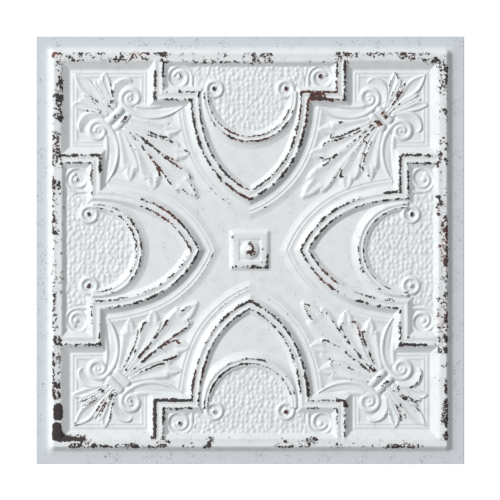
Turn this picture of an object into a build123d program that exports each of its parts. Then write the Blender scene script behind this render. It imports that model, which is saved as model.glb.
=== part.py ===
from build123d import *
from math import atan, degrees
import os

# Pressed ceiling tile, one formed sheet, lying face up on its flange.
# The origin is the middle of the tile, on the plane of the flange's back.
# The pattern has four lobes (left, right, top, bottom) and four corner panels.
# Each feature is drawn once, in the right lobe or in the upper right corner.

# Driving dimensions, millimetres
tile_side = 603.0
wall = 0.6
relief = 9.2

# The pattern keeps its share of the tile's side
unit = tile_side / 603.0

# Frame: half widths from the tile's centre
frame_foot = 283.0 * unit
frame_inner = 265.5 * unit
frame_draft = 32.0
pocket_draft = 52.0
flange_cove = 7.0 * unit
cove_rise = 1.3
frame_round = 1.5
frame_corner = 3.0 * unit

# Levels above the flange's face
field_rise = 0.4
recess_rise = 1.6
lobe_rise = 3.4

# Band round each lobe: two ridges with a groove between them
band_drop = 0.2
ridge = 4.3 * unit
band_half = 5.1 * unit
groove_depth = 1.2
ridge_drop = 0.5
slope_out = 10.2 * unit
slope_in = 8.0 * unit
step_across = 128.5 * unit
step_along = 217.2 * unit

# Pointed arch: two tangent arcs from the step band to the apex
arch_start = 77.5 * unit
shoulder_radius = 199.0 * unit
shoulder_turn = 21.0
haunch_radius = 125.3 * unit
haunch_turn = 44.0
apex_run = 30.0 * unit

# Border of two beads along the foot of the arches and of the frame
bead_near = 3.9 * unit
bead_far = 9.2 * unit
bead_half = 2.0 * unit
bead_rise = 0.7
terrace_rise = 1.6
terrace_slope = 6.5 * unit
bead_crest = 0.35
panel_rise = 0.3
border_run = 14.0 * unit

# Crescent inside each lobe, ending in two small volutes
crescent_centre = 218.7 * unit
crescent_radius = 62.0 * unit
crescent_turn = 99.0
crescent_ridge = 2.8 * unit
crescent_slope = 6.8 * unit
crescent_rise = 5.2
curl_radius = 12.2 * unit
curl_turn = 250.0
curl_half = 3.8 * unit
curl_rise = 3.6
curl_eye = 4.6 * unit
eye_rise = 3.2
eye_shoulder = 0.7
eye_flat = 0.25

# Frame volute in the square recess beside each step
volute_start = (222.0 * unit, 82.0 * unit)
volute_run = 21.0 * unit
volute_radius = 17.5 * unit
volute_pitch = 4.1 * unit
volute_half = 2.6 * unit
volute_rise = 3.6

# Corner ornament: two scrolls with horns, a collar of two bars and two sprays of leaves
horn_tip = (206.0 * unit, 91.0 * unit)
horn_heading = 132.0
horn_radius = 75.0 * unit
horn_turn = 39.0
stem_radius = 50.3 * unit
stem_turn = 53.0
horn_fill = 1.2
horn_crest = (203.0 * unit, 160.0 * unit)
crest_heading = -100.0
crest_radius = 78.0 * unit
crest_turn = 45.0
crest_rise = 2.6
scroll_radius = 13.2 * unit
scroll_pitch = 3.4 * unit
scroll_turn = 220.0
scroll_half = 2.8 * unit
scroll_rise = 3.8
scroll_eye = 4.2 * unit
frond_foot = (203.0 * unit, 193.7 * unit)
frond_run = 20.0 * unit
frond_radius = 20.0 * unit
frond_tip = 7.0 * unit
frond_side = 2.4 * unit
frond_bend = 90.0
frond_hook = 150.0
frond_inner = 5.8 * unit
frond_rise = 3.8
collar_middle = 261.0 * unit
collar_pitch = 14.0 * unit
collar_width = 12.4 * unit
collar_length = 32.0 * unit
collar_rise = 6.4
collar_draft = 30.0
leaf_rise = 4.0
leaf_fill = 0.8
lobe_start = 0.5
lobe_end = 0.84
lobe_reach = 1.1
lobe_half = 0.45
middle_leaves = ((246.0, 0.0, 107.0, 0.0, 12.0),)
side_leaves = (
    (246.0, -4.0, 157.0, -34.0, 8.0),
    (244.0, -10.0, 188.0, -49.0, 9.0),
)
spears = (
    (274.0, -2.0, 326.0, -14.0, 3.6),
    (274.0, -4.0, 325.0, -33.0, 6.5),
)
corner_spear = (272.0, 0.0, 350.0, 0.0, 4.6)

# Centre boss: a square plate with a raised rim, a dome and a knob
boss_side = 55.0 * unit
boss_rise = 4.2
boss_draft = 35.0
boss_well = 31.0 * unit
boss_sink = 2.0
boss_dome = 13.6 * unit
boss_height = 8.2
boss_knob = 3.6 * unit

floor_back = field_rise
floor_top = wall + field_rise
lobe_top = wall + lobe_rise
recess_top = wall + recess_rise
top = wall + relief
band_top = top - band_drop
pocket_foot = frame_inner - 11.3 * unit
band_foot = band_half + slope_out
diagonal = Plane((0, 0, 0), x_dir=(1, 1, 0), z_dir=(1, -1, 0))


def section_plane(path):
    """Upright plane across the start of a path; its x axis points to the path's left."""
    return Plane(path @ 0, x_dir=(path % 0).cross(Vector(0, 0, -1)), z_dir=path % 0)


def arch_path():
    """Centre line of half an arch, from the step to just past the apex."""
    with BuildLine() as line:
        shoulder = JernArc((step_along, arch_start), (-1, 0), shoulder_radius, shoulder_turn)
        haunch = JernArc(shoulder @ 1, shoulder % 1, haunch_radius, haunch_turn)
        Line(haunch @ 1, haunch @ 1 + haunch % 1 * apex_run)
    return line.wires()[0]


def spiral_path(start, heading, run, radius, pitch, half_turns, side=1):
    """Straight run that winds up into a spiral of shrinking half circles."""
    with BuildLine() as line:
        end = Line(start, Vector(*start) + Vector(*heading) * run)
        for turn in range(half_turns):
            end = JernArc(end @ 1, end % 1, radius - turn * pitch, side * 180)
    return line.wires()[0]


def band_section(base):
    """Band across its path: slope, ridge, groove, ridge, slope."""
    inner_foot = band_half + slope_in * (band_top - base) / (band_top - lobe_top)
    outer_foot = band_half + slope_out * (band_top - base) / (band_top - floor_top)
    with BuildLine() as line:
        Polyline(
            (inner_foot, base),
            (band_half, band_top - ridge_drop),
            (ridge, band_top),
            (0, band_top - groove_depth),
            (-ridge, band_top),
            (-band_half, band_top - ridge_drop),
            (-outer_foot, base),
            close=True,
        )
    return line.line


def crescent_section(base):
    """Crescent across its path, with a low inner ridge and a high outer one."""
    foot = crescent_ridge + crescent_slope * (lobe_top + crescent_rise - base) / crescent_rise
    with BuildLine() as line:
        Polyline(
            (foot, base),
            (crescent_ridge, lobe_top + crescent_rise),
            (0, lobe_top + crescent_rise - groove_depth),
            (-crescent_ridge, lobe_top + crescent_rise - groove_depth / 2),
            (-foot, base),
            close=True,
        )
    return line.line


def border_section(foot, rise, slope):
    """Two beads on a low strip that starts at the foot of a slope."""
    level = floor_top + rise
    near = foot + bead_near
    far = foot + bead_far
    edge = far + bead_half
    with BuildLine() as line:
        Polyline(
            (0, floor_back),
            (0, level),
            (bead_half - near, level),
            (-near, level + bead_rise),
            (-(near + far) / 2, level),
            (-far, level + bead_rise),
            (-edge, level),
            (-edge - slope, floor_top),
            (-edge - slope, floor_back),
            close=True,
        )
    return line.line


def half_lobe(inset):
    """Half of the right lobe with all its forms shrunk by an inset: ground, band, crescent."""
    base = floor_back - 2 * inset
    with BuildPart() as form:
        with BuildSketch(Plane.XY.offset(base)):
            with BuildLine():
                add(arch)
                Polyline(arch @ 1, (frame_inner, (arch @ 1).Y), (frame_inner, arch_start), arch @ 0)
            make_face()
        extrude(amount=lobe_top - inset - base)
        with BuildSketch(Plane.XY.offset(base)):
            with Locations(((step_along + frame_inner) / 2, (arch_start + step_across) / 2)):
                Rectangle(frame_inner - step_along, step_across - arch_start)
        extrude(amount=recess_top - inset - base)
        with BuildSketch(section_plane(crescent)):
            with BuildLine():
                add(crescent_section(base))
            make_face()
            offset(amount=-inset, kind=Kind.INTERSECTION, mode=Mode.REPLACE)
        sweep(path=crescent)
        with BuildSketch(section_plane(band)):
            with BuildLine():
                add(band_section(base))
            make_face()
            offset(amount=-inset, kind=Kind.INTERSECTION, mode=Mode.REPLACE)
        sweep(path=band, transition=Transition.RIGHT)
        split(bisect_by=Plane.XZ, keep=Keep.BOTTOM)
    return form.part


def bead(path, half, level, rise):
    """Bead along a path, standing on the ground at the given level."""
    with BuildPart() as form:
        with BuildSketch(section_plane(path)):
            with BuildLine():
                Polyline(
                    (-half, floor_back),
                    (-half, level),
                    (-bead_crest * half, level + rise),
                    (bead_crest * half, level + rise),
                    (half, level),
                    (half, floor_back),
                    close=True,
                )
            make_face()
        sweep(path=path)
    return form.part


def eye(centre, radius, level, rise):
    """Low rounded knob in the middle of a volute."""
    with BuildPart() as form:
        with BuildSketch(Plane.XZ):
            with BuildLine():
                Polyline(
                    (0, floor_back),
                    (radius, floor_back),
                    (radius, level),
                    (eye_shoulder * radius, level + eye_shoulder * rise),
                    (eye_flat * radius, level + rise),
                    (0, level + rise),
                    close=True,
                )
            make_face()
        revolve(axis=Axis.Z)
    return form.part.moved(Location((centre.X, centre.Y, 0)))


def spear(root_along, root_across, tip_along, tip_across, half):
    """Pointed blade on the corner's diagonal, rising from its outline to a middle ridge."""
    root = Vector(root_along, root_across) * unit
    tip = Vector(tip_along, tip_across) * unit
    side = (tip - root).normalized().rotate(Axis.Z, 90) * half * unit
    slope = degrees(atan(leaf_fill * half * unit / leaf_rise))
    with BuildPart() as form:
        with BuildSketch(Plane((0, 0, floor_back), x_dir=(1, 1, 0), z_dir=(0, 0, 1))):
            with BuildLine():
                ThreePointArc(root, (root + tip) * 0.5 - side, tip)
                ThreePointArc(tip, (root + tip) * 0.5 + side, root)
            make_face()
        extrude(amount=leaf_rise, taper=slope)
    return form.part


def leaf(root_along, root_across, tip_along, tip_across, half):
    """Leaf of three lobes: a long spear with a short one on each side near its tip."""
    root = Vector(root_along, root_across)
    run = Vector(tip_along, tip_across) - root
    fork = root + run * lobe_start
    side = run.normalized().rotate(Axis.Z, 90) * half * lobe_reach
    with BuildPart() as form:
        add(spear(root_along, root_across, tip_along, tip_across, half))
        for end in (root + run * lobe_end + side, root + run * lobe_end - side):
            add(spear(fork.X, fork.Y, end.X, end.Y, half * lobe_half))
    return form.part


# Paths of the mouldings
arch = arch_path()
with BuildLine() as band_line:
    Polyline(
        (frame_inner + band_half, step_across),
        (step_along, step_across),
        (step_along, arch_start),
    )
    add(arch)
band = band_line.wires()[0]
with BuildLine() as crescent_line:
    JernArc((crescent_centre - crescent_radius, 0), (0, 1), crescent_radius, -crescent_turn)
crescent = crescent_line.wires()[0]
with BuildLine() as curl_line:
    JernArc(crescent @ 1, crescent % 1, curl_radius, -curl_turn)
curl = curl_line.wires()[0]
volute = spiral_path(volute_start, (1, 0), volute_run, volute_radius, volute_pitch, 3)

# Border along the foot of the arch, cut off at the apex
with BuildPart() as arch_border:
    with BuildSketch(section_plane(arch)):
        with BuildLine():
            add(border_section(band_foot, terrace_rise, terrace_slope))
        make_face()
    sweep(path=arch)
    split(bisect_by=Plane.XZ, keep=Keep.BOTTOM)

# The right lobe
with BuildPart() as lobe:
    add(half_lobe(0))
    add(arch_border.part)
    add(bead(curl, curl_half, lobe_top, curl_rise))
    add(eye(curl.edge().arc_center, curl_eye, lobe_top, eye_rise))
    add(bead(volute, volute_half, recess_top, volute_rise))
    mirror(about=Plane.XZ)

# Border round three sides of the corner panel
with BuildLine() as panel_line:
    Polyline(
        (step_across + band_foot, step_along - border_run),
        (step_across + band_foot, pocket_foot),
        (pocket_foot, pocket_foot),
        (pocket_foot, step_across + band_foot),
        (step_along - border_run, step_across + band_foot),
    )
panel = panel_line.wires()[0]

# Scroll and horn beside the step
with BuildLine() as stem_line:
    horn = JernArc(horn_tip, Vector(1, 0).rotate(Axis.Z, horn_heading), horn_radius, -horn_turn)
    stem = JernArc(horn @ 1, horn % 1, stem_radius, -stem_turn)
with BuildLine() as scroll_line:
    add(stem_line.line)
    ring = JernArc(stem @ 1, stem % 1, scroll_radius, -scroll_turn)
    JernArc(ring @ 1, ring % 1, scroll_radius - scroll_pitch, -180)
scroll = scroll_line.wires()[0]
with BuildLine() as crest_line:
    JernArc(horn_crest, Vector(1, 0).rotate(Axis.Z, crest_heading), crest_radius, crest_turn)
crest = crest_line.wires()[0]
with BuildPart() as horn_body:
    with BuildSketch(Plane.XY.offset(floor_back)):
        with BuildLine():
            add(stem_line.line)
            add(crest)
            Line(stem @ 1, crest @ 0)
            Line(crest @ 1, horn @ 0)
        make_face()
    extrude(amount=wall + horn_fill)

# Frond that curls over beside the scroll
with BuildLine() as frond_line:
    run = Line(frond_foot, Vector(*frond_foot) + Vector(frond_run, 0))
    bend = JernArc(run @ 1, run % 1, frond_radius, -frond_bend)
    JernArc(bend @ 1, bend % 1, frond_tip, -frond_hook)
frond_path = frond_line.wires()[0]
with BuildPart() as frond:
    with BuildSketch(section_plane(frond_path)):
        with BuildLine():
            Polyline(
                (frond_side, floor_back),
                (frond_side, floor_top),
                (0, floor_top + frond_rise),
                (-frond_side, floor_top + frond_rise),
                (-frond_inner, floor_top),
                (-frond_inner, floor_back),
                close=True,
            )
        make_face()
    sweep(path=frond_path)

with BuildPart() as scrolls:
    add(horn_body.part)
    add(bead(scroll, scroll_half, floor_top, scroll_rise))
    add(bead(crest, scroll_half, floor_top, crest_rise))
    add(frond.part)
    add(eye(ring.arc_center, scroll_eye, floor_top, eye_rise))
    mirror(about=diagonal)
with BuildPart() as spray:
    for size in side_leaves:
        add(leaf(*size))
    for size in spears:
        add(spear(*size))
    mirror(about=diagonal)
with BuildPart() as border:
    with BuildSketch(section_plane(panel)):
        with BuildLine():
            add(border_section(0, panel_rise, bead_half))
        make_face()
    sweep(path=panel, transition=Transition.RIGHT)
with BuildPart() as collar:
    with BuildSketch(Plane((0, 0, floor_back), x_dir=(1, 1, 0), z_dir=(0, 0, 1))):
        with Locations((collar_middle - collar_pitch / 2, 0), (collar_middle + collar_pitch / 2, 0)):
            SlotOverall(collar_length, collar_width, rotation=90)
    extrude(amount=collar_rise, taper=collar_draft)

# Centre boss
with BuildPart() as boss:
    with BuildSketch(Plane.XY.offset(floor_back)):
        Rectangle(boss_side, boss_side)
    extrude(amount=boss_rise, taper=boss_draft)
    with BuildSketch(Plane.XY.offset(floor_back + boss_rise)):
        Rectangle(boss_well, boss_well)
    extrude(amount=-boss_sink, taper=boss_draft, mode=Mode.SUBTRACT)
    add(eye(Vector(0, 0, 0), boss_dome, floor_back + boss_rise - boss_sink, boss_height - boss_knob))
    add(eye(Vector(0, 0, 0), boss_knob, boss_height - boss_knob, boss_knob))

# Back of the sheet: the same forms, one wall thickness smaller
with BuildPart() as lobe_hollow:
    add(half_lobe(wall))
    mirror(about=Plane.XZ)
with BuildPart() as hollow:
    with BuildSketch():
        Rectangle(2 * frame_foot - wall, 2 * frame_foot - wall)
    extrude(amount=top - wall, taper=frame_draft)
    with BuildSketch(Plane.XY.offset(top - wall)):
        Rectangle(2 * frame_inner, 2 * frame_inner)
    extrude(amount=floor_back - top + wall, taper=pocket_draft, mode=Mode.SUBTRACT)
    with PolarLocations(0, 4):
        add(lobe_hollow.part)

with BuildPart() as tile:
    with BuildSketch():
        Rectangle(tile_side, tile_side)
    extrude(amount=wall)
    with BuildSketch(Plane.XY.offset(wall)):
        Rectangle(2 * frame_foot, 2 * frame_foot)
    frustum = extrude(amount=relief, taper=frame_draft)
    fillet(frustum.edges().filter_by(Axis.Z, tolerance=50), frame_corner)
    fillet(tile.faces().sort_by(Axis.Z)[-1].edges(), frame_round)
    with BuildSketch(Plane.XY.offset(wall)):
        Rectangle(2 * (frame_foot + flange_cove), 2 * (frame_foot + flange_cove))
    extrude(amount=cove_rise, taper=degrees(atan(flange_cove / cove_rise)))
    with BuildSketch(Plane.XY.offset(top)):
        Rectangle(2 * frame_inner, 2 * frame_inner)
    extrude(amount=floor_top - top, taper=pocket_draft, mode=Mode.SUBTRACT)
    add(boss.part)
    with PolarLocations(0, 4):
        add(lobe.part)
        add(border.part)
        add(collar.part)
        add(scrolls.part)
        add(spray.part)
        for size in middle_leaves:
            add(leaf(*size))
        add(spear(*corner_spear))
    add(hollow.part, mode=Mode.SUBTRACT)

os.makedirs("parts", exist_ok=True)
tile.part.label = "tile"
export_step(tile.part, "parts/tile.step")
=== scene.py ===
"""Pressed ceiling tile: one formed sheet in worn white paint, lying face up."""

import logging
import math
from dataclasses import dataclass, field
from enum import Enum

import bmesh
import bpy
import numpy as np
from mathutils import Matrix, Vector


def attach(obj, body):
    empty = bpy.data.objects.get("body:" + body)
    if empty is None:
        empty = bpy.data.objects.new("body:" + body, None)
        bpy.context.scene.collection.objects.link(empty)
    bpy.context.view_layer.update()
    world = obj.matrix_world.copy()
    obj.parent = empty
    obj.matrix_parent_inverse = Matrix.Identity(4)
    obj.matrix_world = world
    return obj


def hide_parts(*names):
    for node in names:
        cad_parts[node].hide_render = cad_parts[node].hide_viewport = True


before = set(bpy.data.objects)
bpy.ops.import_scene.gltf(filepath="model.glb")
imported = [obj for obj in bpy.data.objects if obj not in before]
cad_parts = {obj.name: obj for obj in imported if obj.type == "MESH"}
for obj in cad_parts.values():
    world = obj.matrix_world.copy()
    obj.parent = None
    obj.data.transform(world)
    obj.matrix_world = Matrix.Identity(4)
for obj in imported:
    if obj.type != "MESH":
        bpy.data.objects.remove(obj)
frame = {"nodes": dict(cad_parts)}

LOG = logging.getLogger("ceiling_tile")
MM = 0.001
FLAT_WEAR = 0.06
PAINT_BLEND = (-0.2, 0.4)
FILLET_RISE = 0.25
TINY = 1e-6
Place = tuple[float, float]
Points = tuple[Place, ...]
Span = tuple[float, float]
Colour = tuple[float, float, float]
Socket = bpy.types.NodeSocket


# Helpers for heights, all in millimetres


def ease(value: np.ndarray, start: float, end: float) -> np.ndarray:
    """Goes smoothly from 0 at start to 1 at end."""
    share = np.clip((value - start) / (end - start), 0.0, 1.0)
    return share * share * (3.0 - 2.0 * share)


def to_diagonal(u: np.ndarray, v: np.ndarray) -> tuple[np.ndarray, np.ndarray]:
    """Distances along and across the corner's diagonal."""
    return (u + v) / math.sqrt(2.0), (u - v) / math.sqrt(2.0)


def scattered(place: np.ndarray, stretch: float, shift: float, size: float) -> np.ndarray:
    """Numbers from 0 to 1 that look random and depend on the place alone."""
    return np.modf(np.abs(np.sin(place * stretch + shift) * size))[0]


def inside(outline: np.ndarray, p: np.ndarray, q: np.ndarray) -> np.ndarray:
    """Says which points lie inside a closed outline.

    Args:
        outline: Corners of the outline, n by 2.
        p: First coordinates of the points.
        q: Second coordinates of the points.

    Returns:
        True for each point inside.
    """
    crossings = np.zeros(p.shape, dtype=bool)
    previous = outline[-1]
    for corner in outline:
        low, high = sorted((previous[1], corner[1]))
        if high > low:
            share = (q - previous[1]) / (corner[1] - previous[1])
            side = previous[0] + share * (corner[0] - previous[0])
            crossings ^= (q > low) & (q <= high) & (p < side)
        previous = corner
    return crossings


@dataclass(frozen=True)
class Section:
    """Section of a moulding: heights at offsets from its line, rounded as pressed metal is.

    A station is an offset and a height, and a worn one is an offset and how worn the paint is.
    """

    stations: Points
    softness: float = 0.7
    worn: Points = ((0.0, 0.1),)
    step: float = 0.1
    margin: float = 6.0

    def at(self, offset: np.ndarray) -> np.ndarray:
        """Reads the rounded section.

        Args:
            offset: Offsets from the moulding's line.

        Returns:
            Height at each offset.
        """
        offsets, heights = np.array(self.stations).T
        table = np.arange(offsets[0] - self.margin, offsets[-1] + self.margin, self.step)
        window = np.arange(-3.0 * self.softness, 3.0 * self.softness + self.step / 2.0, self.step)
        weights = np.exp(-0.5 * (window / self.softness) ** 2)
        weights /= weights.sum()
        line = np.pad(np.interp(table, offsets, heights), len(weights) // 2, mode="edge")
        smooth = np.convolve(line, weights, mode="valid")[: len(table)]
        return np.interp(offset, table, smooth)

    def wear_at(self, offset: np.ndarray) -> np.ndarray:
        """How worn the paint is at the given offsets, from 0 to about 1."""
        offsets, amounts = np.array(self.worn).T
        return np.interp(offset, offsets, amounts)


@dataclass
class Pressing:
    """Places on the sheet, with their heights and wear while the forms are pressed in.

    u is the larger and v the smaller distance from the tile's middle lines, so each form
    is drawn in one eighth of the tile.
    """

    x: np.ndarray
    y: np.ndarray
    height: np.ndarray = field(init=False)
    wear: np.ndarray = field(init=False)
    u: np.ndarray = field(init=False)
    v: np.ndarray = field(init=False)

    def __post_init__(self) -> None:
        """Folds the places into one eighth of the tile."""
        self.u = np.maximum(np.abs(self.x), np.abs(self.y))
        self.v = np.minimum(np.abs(self.x), np.abs(self.y))
        self.height = np.zeros(self.x.shape)
        self.wear = np.full(self.x.shape, FLAT_WEAR)

    def stand(self, form: np.ndarray, wear: np.ndarray | float, fillet: float = 0.7,
              where: np.ndarray | slice = slice(None)) -> None:
        """Stands a form on what is there, with a soft fillet between them.

        Args:
            form: Heights of the form, low where it isn't.
            wear: How worn the form's paint is.
            fillet: Height over which the two blend.
            where: The places that the form covers.
        """
        ground = self.height[where]
        share = ease(form - ground, *PAINT_BLEND)
        self.wear[where] = self.wear[where] * (1.0 - share) + wear * share
        near = np.maximum(fillet - np.abs(ground - form), 0.0) / fillet
        self.height[where] = np.maximum(ground, form) + near * near * fillet * FILLET_RISE


@dataclass(frozen=True)
class Line:
    """Line of a moulding as seen from above: straights and arcs that run into each other."""

    start: Place
    heading: float
    moves: Points
    spacing: float = 1.2

    def points(self) -> np.ndarray:
        """Follows the line from its start. A move is a length or a radius, and its turn.

        Returns:
            Points along the line, n by 2, about a millimetre apart.
        """
        place = np.array(self.start, dtype=float)
        angle = math.radians(self.heading)
        found = [place.copy()]
        for size, turn in self.moves:
            length = size if turn == 0.0 else abs(math.radians(turn)) * size
            steps = max(2, int(length / self.spacing))
            half = math.radians(turn) / steps / 2.0
            chord = length / steps if turn == 0.0 else 2.0 * size * math.sin(abs(half))
            for _ in range(steps):
                angle += half
                place = place + chord * np.array((math.cos(angle), math.sin(angle)))
                angle += half
                found.append(place.copy())
        return np.array(found)


def nearest(line: np.ndarray, p: np.ndarray, q: np.ndarray) -> tuple[np.ndarray, np.ndarray]:
    """Finds each point's place beside a line.

    Args:
        line: Points of the line, n by 2.
        p: First coordinates of the points.
        q: Second coordinates of the points.

    Returns:
        Offset from the line, positive on its left, and distance travelled along it.
    """
    start, step = line[:-1], np.diff(line, axis=0)
    length = np.hypot(step[:, 0], step[:, 1])
    travelled = np.concatenate(((0.0,), np.cumsum(length)[:-1]))
    best = np.full(p.shape, np.inf)
    side = np.ones(p.shape)
    along = np.zeros(p.shape)
    for (x, y), (dx, dy), size, before in zip(start, step, length, travelled):
        share = np.clip(((p - x) * dx + (q - y) * dy) / size**2, 0.0, 1.0)
        away = np.hypot(p - x - share * dx, q - y - share * dy)
        closer = away < best
        best = np.where(closer, away, best)
        cross = dx * (q - y) - dy * (p - x)
        side = np.where(closer, np.where(cross >= 0.0, 1.0, -1.0), side)
        along = np.where(closer, before + share * size, along)
    return best * side, along


def softened(corners: Points, closed: bool = True) -> np.ndarray:
    """Softens an outline by cutting each corner twice.

    Args:
        corners: Corners of the outline.
        closed: Whether the last corner joins the first.

    Returns:
        Corners of the softer outline, n by 2.
    """
    cut_at = 0.22
    line = np.array(corners, dtype=float)
    for _ in range(2):
        following = np.roll(line, -1, axis=0) if closed else line[1:]
        before = line if closed else line[:-1]
        first = before * (1.0 - cut_at) + following * cut_at
        second = before * cut_at + following * (1.0 - cut_at)
        cut = np.stack((first, second), axis=1).reshape(-1, 2)
        line = cut if closed else np.vstack((line[:1], cut, line[-1:]))
    return line


# Forms of the pattern


@dataclass(frozen=True)
class Levels:
    """Heights of the flat grounds above the floor that the tile lies on."""

    flange: float = 0.6
    panel: float = 1.0
    recess: float = 2.2
    lobe: float = 4.0
    top: float = 9.8


OUTER_SLOPE = (
    (277.9, 9.3), (283.6, 2.7), (285.6, 1.7), (288.5, 1.1), (293.5, 0.68), (297.0, 0.6), (301.5, 0.6),
)


@dataclass(frozen=True)
class Border:
    """Flat outer flange and the raised frame inside it."""

    corner: float = 276.0
    side_change: Span = (122.0, 135.0)
    outer_side: float = 270.0
    lobe_side: Section = Section(
        (
            (249.0, -6.0), (257.4, 3.0), (264.8, 9.2), (266.2, 9.7), (272.0, 9.5), (276.6, 9.75),
            *OUTER_SLOPE,
        ),
        0.45,
        (
            (259.0, 0.02), (264.4, 0.95), (267.0, 0.85), (271.0, 0.6), (275.0, 0.85), (278.0, 1.1),
            (281.4, 0.02),
        ),
    )
    panel_side: Section = Section(
        (
            (246.0, -4.2), (254.0, 0.9), (266.4, 8.6), (268.5, 9.2), (272.0, 9.5), (276.6, 9.75),
            *OUTER_SLOPE,
        ),
        0.5,
        (
            (259.0, 0.02), (265.5, 0.9), (269.0, 0.95), (272.0, 0.7), (275.0, 0.85), (278.0, 1.1),
            (281.4, 0.02),
        ),
    )

    def press(self, sheet: Pressing) -> None:
        """Raises the frame round the ground that it encloses.

        Args:
            sheet: The sheet with what is pressed so far.
        """
        u, v = sheet.u, sheet.v
        beyond = np.hypot(np.maximum(u - self.corner, 0.0), np.maximum(v - self.corner, 0.0))
        reach = np.where(u > self.corner, self.corner + beyond, u)
        share = ease(v, *self.side_change)
        form = self.lobe_side.at(reach) * (1.0 - share) + self.panel_side.at(reach) * share
        wear = self.lobe_side.wear_at(reach) * (1.0 - share) + self.panel_side.wear_at(reach) * share
        sheet.stand(form, wear)
        outer = reach > self.outer_side
        sheet.height[outer] = form[outer]
        sheet.wear[outer] = wear[outer]


@dataclass(frozen=True)
class Band:
    """Band that outlines a lobe: a square step at the frame, then a pointed arch."""

    levels: Levels
    step_across: float = 128.5
    step_along: float = 217.2
    arch_start: float = 77.5
    shoulder_radius: float = 199.0
    shoulder_turn: float = 21.0
    haunch_radius: float = 125.3
    step_width: float = 1.1
    volute: Place = (245.5, 99.5)
    sunk_across: Span = (76.4, 79.6)
    sunk_along: Span = (214.0, 217.0)
    sunk_round: Span = (19.0, 17.0)
    border_end: Span = (200.0, 206.0)
    out_of_sight: float = -2.0
    section: Section = Section(
        (
            (-18.0, -1.5), (-13.4, 3.4), (-5.6, 8.9), (-4.5, 9.5), (-3.2, 9.1), (0.0, 8.3),
            (3.2, 9.1), (4.5, 9.6), (5.6, 9.1), (10.0, 4.9), (15.0, 1.2), (20.0, -1.5),
        ),
        0.45,
        (
            (-9.0, 0.02), (-6.2, 0.9), (-5.0, 1.1), (-2.8, 0.15), (0.0, 0.1), (1.8, 0.15), (4.2, 1.1),
            (5.4, 0.95), (9.0, 0.02),
        ),
    )
    border: Section = Section(
        (
            (12.0, 2.6), (17.4, 2.6), (19.2, 3.4), (21.8, 2.5), (24.5, 3.35), (26.6, 2.5), (33.0, 0.9),
            (36.0, -1.0),
        ),
        0.5,
        ((17.4, 0.03), (19.2, 0.8), (21.4, 0.03), (22.8, 0.03), (24.6, 0.9), (26.4, 0.03)),
    )

    def arch(self, u: np.ndarray, v: np.ndarray) -> np.ndarray:
        """Measures from the arch's middle line, a shoulder arc that runs on into a haunch arc.

        Args:
            u: Larger distances from the tile's middle lines.
            v: Smaller distances from the tile's middle lines.

        Returns:
            Offset from the line, positive outside the lobe.
        """
        radius, haunch = self.shoulder_radius, self.haunch_radius
        angle = math.radians(self.shoulder_turn)
        centre = np.array((self.step_along, self.arch_start - radius))
        join = centre + radius * np.array((-math.sin(angle), math.cos(angle)))
        second = join + haunch * np.array((math.sin(angle), -math.cos(angle)))
        outer = np.hypot(u - centre[0], v - centre[1]) - radius
        inner = np.hypot(u - second[0], v - second[1]) - haunch
        past = (u - centre[0]) * math.cos(angle) + (v - centre[1]) * math.sin(angle) < 0.0
        return np.where(u > self.step_along, v - self.arch_start, np.where(past, inner, outer))

    def offset(self, u: np.ndarray, v: np.ndarray) -> np.ndarray:
        """Offset from the band's middle line, positive outside the lobe."""
        step = np.maximum(self.step_along - u, v - self.step_across) / self.step_width
        return np.minimum(step, self.arch(u, v))

    def lay_ground(self, sheet: Pressing) -> None:
        """Lays the flat grounds on both sides of the band, with the sunk square for the volute.

        Args:
            sheet: The sheet with what is pressed so far.
        """
        sunk = ease(sheet.v, *self.sunk_across) * ease(sheet.u, *self.sunk_along)
        away = np.hypot(sheet.u - self.volute[0], sheet.v - self.volute[1])
        beyond = (sheet.u > self.volute[0]) & (sheet.v < self.volute[1])
        sunk = np.where(beyond, ease(away, *self.sunk_round), sunk)
        lobe = self.levels.lobe + (self.levels.recess - self.levels.lobe) * sunk
        sheet.height[:] = np.where(self.offset(sheet.u, sheet.v) < 0.0, lobe, self.levels.panel)

    def press(self, sheet: Pressing) -> None:
        """Raises the band and the beaded border along the arch's foot.

        Args:
            sheet: The sheet with what is pressed so far.
        """
        arch, offset = self.arch(sheet.u, sheet.v), self.offset(sheet.u, sheet.v)
        end = ease(sheet.u, *self.border_end)
        strip = self.border.at(arch) * (1.0 - end) + self.out_of_sight * end
        sheet.stand(strip, self.border.wear_at(arch), fillet=0.6)
        sheet.stand(self.section.at(offset), self.section.wear_at(offset))


@dataclass(frozen=True)
class PanelBeads:
    """Double bead on a low strip round a corner panel."""

    level: float
    frame_foot: float = 254.2
    band_foot: float = 143.8
    end: Span = (206.0, 202.0)
    end_drop: float = 0.4
    overlap: float = 3.0
    worn: float = 0.03
    section: Section = Section(
        ((-3.0, 0.3), (2.0, 0.3), (3.9, 1.25), (6.4, 0.25), (9.1, 1.2), (11.3, 0.2), (14.0, -0.4)),
        0.5,
        ((0.0, 0.03),),
    )

    def press(self, sheet: Pressing) -> None:
        """Lays the strip along the frame's foot and back along the step's foot.

        Args:
            sheet: The sheet with what is pressed so far.
        """
        inward = np.minimum(self.frame_foot - sheet.u, sheet.v - self.band_foot)
        end = ease(sheet.u, *self.end)
        form = self.level + self.section.at(inward) * (1.0 - end) - self.end_drop * end
        where = sheet.v > self.band_foot - self.overlap
        sheet.stand(form[where], self.worn, fillet=0.3, where=where)


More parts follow.
